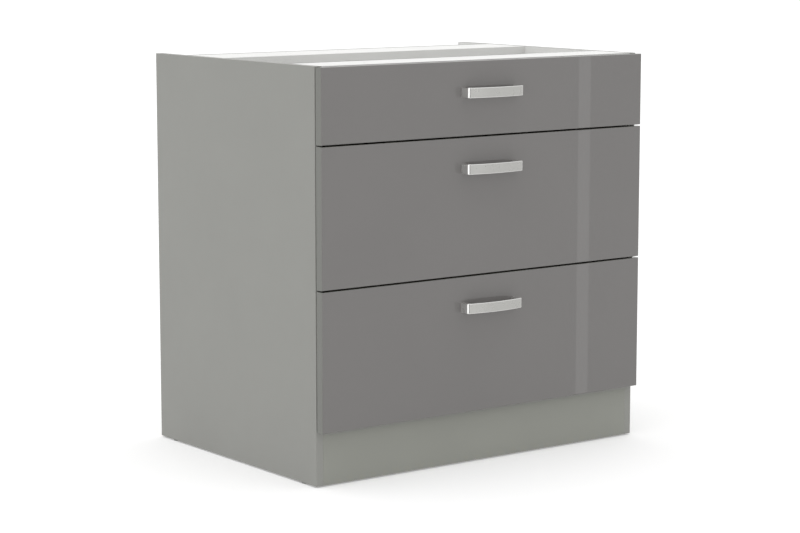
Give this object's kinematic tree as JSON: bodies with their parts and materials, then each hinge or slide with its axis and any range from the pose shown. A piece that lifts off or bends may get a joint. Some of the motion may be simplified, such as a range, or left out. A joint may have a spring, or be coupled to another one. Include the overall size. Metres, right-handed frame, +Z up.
{
  "type": "kitchen base cabinet with drawers",
  "caption": "Floor-standing kitchen base cabinet: gloss drawer fronts with bow handles on full-extension runners, open top with flat rails and a plinth.",
  "frame": {"origin": "on the floor, in the cabinet's middle plane and halfway along the whole depth from the handles to the rear edges of the side panels", "axes": "+Z up, +X to the right of a person facing the drawers, -Y towards that person: the drawers open along -Y"},
  "size_m": [0.8, 0.62, 0.8],
  "materials": {
    "grey_board": "satin melamine coating, warm grey outside and white inside",
    "white_board": "satin white melamine coating",
    "white_box_board": "satin white melamine coating",
    "white_hardboard": "white lacquered face, brown fibre at the cut edges",
    "gloss_front": "high-gloss grey foil on fibreboard with rounded edges",
    "satin_nickel": "satin nickel plated zinc casting",
    "runner_steel": "bright zinc plated rolled steel",
    "zinc_steel": "zinc plated",
    "beech": "plain fluted beech",
    "grey_plastic": "matt moulded",
    "clear_bumper": "soft translucent pad"
  },
  "bodies": {
    "cabinet": {"left_side_panel": "grey_board", "right_side_panel": "grey_board", "plinth_board": "grey_board", "bottom_panel": "white_board", "front_top_rail": "white_board", "rear_top_rail": "white_board", "back_panel": "grey_board", "carcass_dowels": "beech", "cam_bolts": "zinc_steel", "cam_discs": "zinc_steel", "floor_glides": "grey_plastic", "cabinet_runner_screws": "zinc_steel", "cabinet_runner_bottom": "runner_steel", "cabinet_runner_middle": "runner_steel", "cabinet_runner_top": "runner_steel"},
    "drawer_bottom": {"drawer_front_bottom": "gloss_front", "handle_bottom": "satin_nickel", "handle_screws_bottom": "zinc_steel", "left_box_side_bottom": "white_box_board", "right_box_side_bottom": "white_box_board", "box_inner_front_bottom": "white_box_board", "box_back_bottom": "white_box_board", "box_floor_bottom": "white_hardboard", "drawer_runner_bottom": "runner_steel", "drawer_runner_screws_bottom": "zinc_steel", "box_screws_bottom": "zinc_steel", "bumpers_bottom": "clear_bumper"},
    "middle_runner_bottom": {"middle_runner_bottom": "runner_steel"},
    "outer_ball_cage_bottom": {"outer_ball_cage_bottom": "runner_steel"},
    "inner_ball_cage_bottom": {"inner_ball_cage_bottom": "runner_steel"},
    "drawer_middle": {"drawer_front_middle": "gloss_front", "handle_middle": "satin_nickel", "handle_screws_middle": "zinc_steel", "left_box_side_middle": "white_box_board", "right_box_side_middle": "white_box_board", "box_inner_front_middle": "white_box_board", "box_back_middle": "white_box_board", "box_floor_middle": "white_hardboard", "drawer_runner_middle": "runner_steel", "drawer_runner_screws_middle": "zinc_steel", "box_screws_middle": "zinc_steel", "bumpers_middle": "clear_bumper"},
    "middle_runner_middle": {"middle_runner_middle": "runner_steel"},
    "outer_ball_cage_middle": {"outer_ball_cage_middle": "runner_steel"},
    "inner_ball_cage_middle": {"inner_ball_cage_middle": "runner_steel"},
    "drawer_top": {"drawer_front_top": "gloss_front", "handle_top": "satin_nickel", "handle_screws_top": "zinc_steel", "left_box_side_top": "white_box_board", "right_box_side_top": "white_box_board", "box_inner_front_top": "white_box_board", "box_back_top": "white_box_board", "box_floor_top": "white_hardboard", "drawer_runner_top": "runner_steel", "drawer_runner_screws_top": "zinc_steel", "box_screws_top": "zinc_steel", "bumpers_top": "clear_bumper"},
    "middle_runner_top": {"middle_runner_top": "runner_steel"},
    "outer_ball_cage_top": {"outer_ball_cage_top": "runner_steel"},
    "inner_ball_cage_top": {"inner_ball_cage_top": "runner_steel"}
  },
  "joints": [
    {"name": "drawer_bottom_slide", "type": "slide", "parent": "cabinet", "child": "drawer_bottom", "axis": [0, -1, 0], "range_m": [0, 0.45]},
    {"name": "middle_runner_bottom_slide", "type": "slide", "parent": "cabinet", "child": "middle_runner_bottom", "axis": [0, -1, 0], "range_m": [0, 0.225]},
    {"name": "outer_ball_cage_bottom_slide", "type": "slide", "parent": "cabinet", "child": "outer_ball_cage_bottom", "axis": [0, -1, 0], "range_m": [0, 0.1125]},
    {"name": "inner_ball_cage_bottom_slide", "type": "slide", "parent": "cabinet", "child": "inner_ball_cage_bottom", "axis": [0, -1, 0], "range_m": [0, 0.3375]},
    {"name": "drawer_middle_slide", "type": "slide", "parent": "cabinet", "child": "drawer_middle", "axis": [0, -1, 0], "range_m": [0, 0.45]},
    {"name": "middle_runner_middle_slide", "type": "slide", "parent": "cabinet", "child": "middle_runner_middle", "axis": [0, -1, 0], "range_m": [0, 0.225]},
    {"name": "outer_ball_cage_middle_slide", "type": "slide", "parent": "cabinet", "child": "outer_ball_cage_middle", "axis": [0, -1, 0], "range_m": [0, 0.1125]},
    {"name": "inner_ball_cage_middle_slide", "type": "slide", "parent": "cabinet", "child": "inner_ball_cage_middle", "axis": [0, -1, 0], "range_m": [0, 0.3375]},
    {"name": "drawer_top_slide", "type": "slide", "parent": "cabinet", "child": "drawer_top", "axis": [0, -1, 0], "range_m": [0, 0.45]},
    {"name": "middle_runner_top_slide", "type": "slide", "parent": "cabinet", "child": "middle_runner_top", "axis": [0, -1, 0], "range_m": [0, 0.225]},
    {"name": "outer_ball_cage_top_slide", "type": "slide", "parent": "cabinet", "child": "outer_ball_cage_top", "axis": [0, -1, 0], "range_m": [0, 0.1125]},
    {"name": "inner_ball_cage_top_slide", "type": "slide", "parent": "cabinet", "child": "inner_ball_cage_top", "axis": [0, -1, 0], "range_m": [0, 0.3375]}
  ],
  "couplings": [
    {"joint": "middle_runner_bottom_slide", "follows": "drawer_bottom_slide", "ratio": 0.5},
    {"joint": "outer_ball_cage_bottom_slide", "follows": "drawer_bottom_slide", "ratio": 0.25},
    {"joint": "inner_ball_cage_bottom_slide", "follows": "drawer_bottom_slide", "ratio": 0.75},
    {"joint": "middle_runner_middle_slide", "follows": "drawer_middle_slide", "ratio": 0.5},
    {"joint": "outer_ball_cage_middle_slide", "follows": "drawer_middle_slide", "ratio": 0.25},
    {"joint": "inner_ball_cage_middle_slide", "follows": "drawer_middle_slide", "ratio": 0.75},
    {"joint": "middle_runner_top_slide", "follows": "drawer_top_slide", "ratio": 0.5},
    {"joint": "outer_ball_cage_top_slide", "follows": "drawer_top_slide", "ratio": 0.25},
    {"joint": "inner_ball_cage_top_slide", "follows": "drawer_top_slide", "ratio": 0.75}
  ]
}
